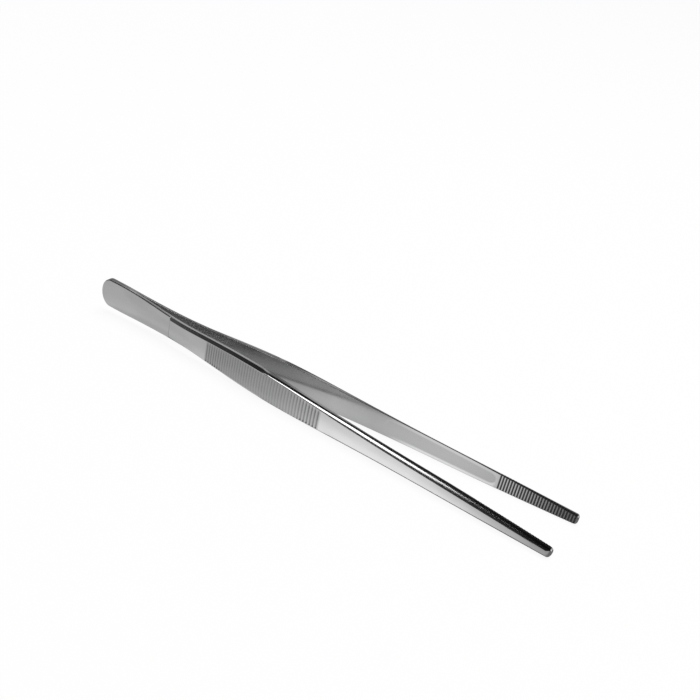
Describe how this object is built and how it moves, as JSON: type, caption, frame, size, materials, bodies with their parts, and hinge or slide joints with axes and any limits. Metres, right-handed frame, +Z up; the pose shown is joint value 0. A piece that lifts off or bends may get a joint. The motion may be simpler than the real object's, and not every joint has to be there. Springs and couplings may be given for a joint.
{
  "type": "thumb forceps",
  "caption": "Thumb forceps: tapering spring arms welded at a rounded flat tail, bevelled cross-ribbed grips, slim shanks and blunt tips with cross-serrated inner faces.",
  "frame": {"origin": "on the table, under the middle of the bounding box: the forceps lie on the narrow edges of both arms, as they come to rest", "axes": "+X from the welded tail towards the tips, +Y from the front arm to the rear arm, +Z up from the table"},
  "size_m": [0.1998, 0.0256, 0.0147],
  "materials": {
    "steel": "fine polish with faint lengthwise grain"
  },
  "bodies": {
    "root": {"front_arm": "steel", "rear_arm": "steel"}
  },
  "joints": []
}
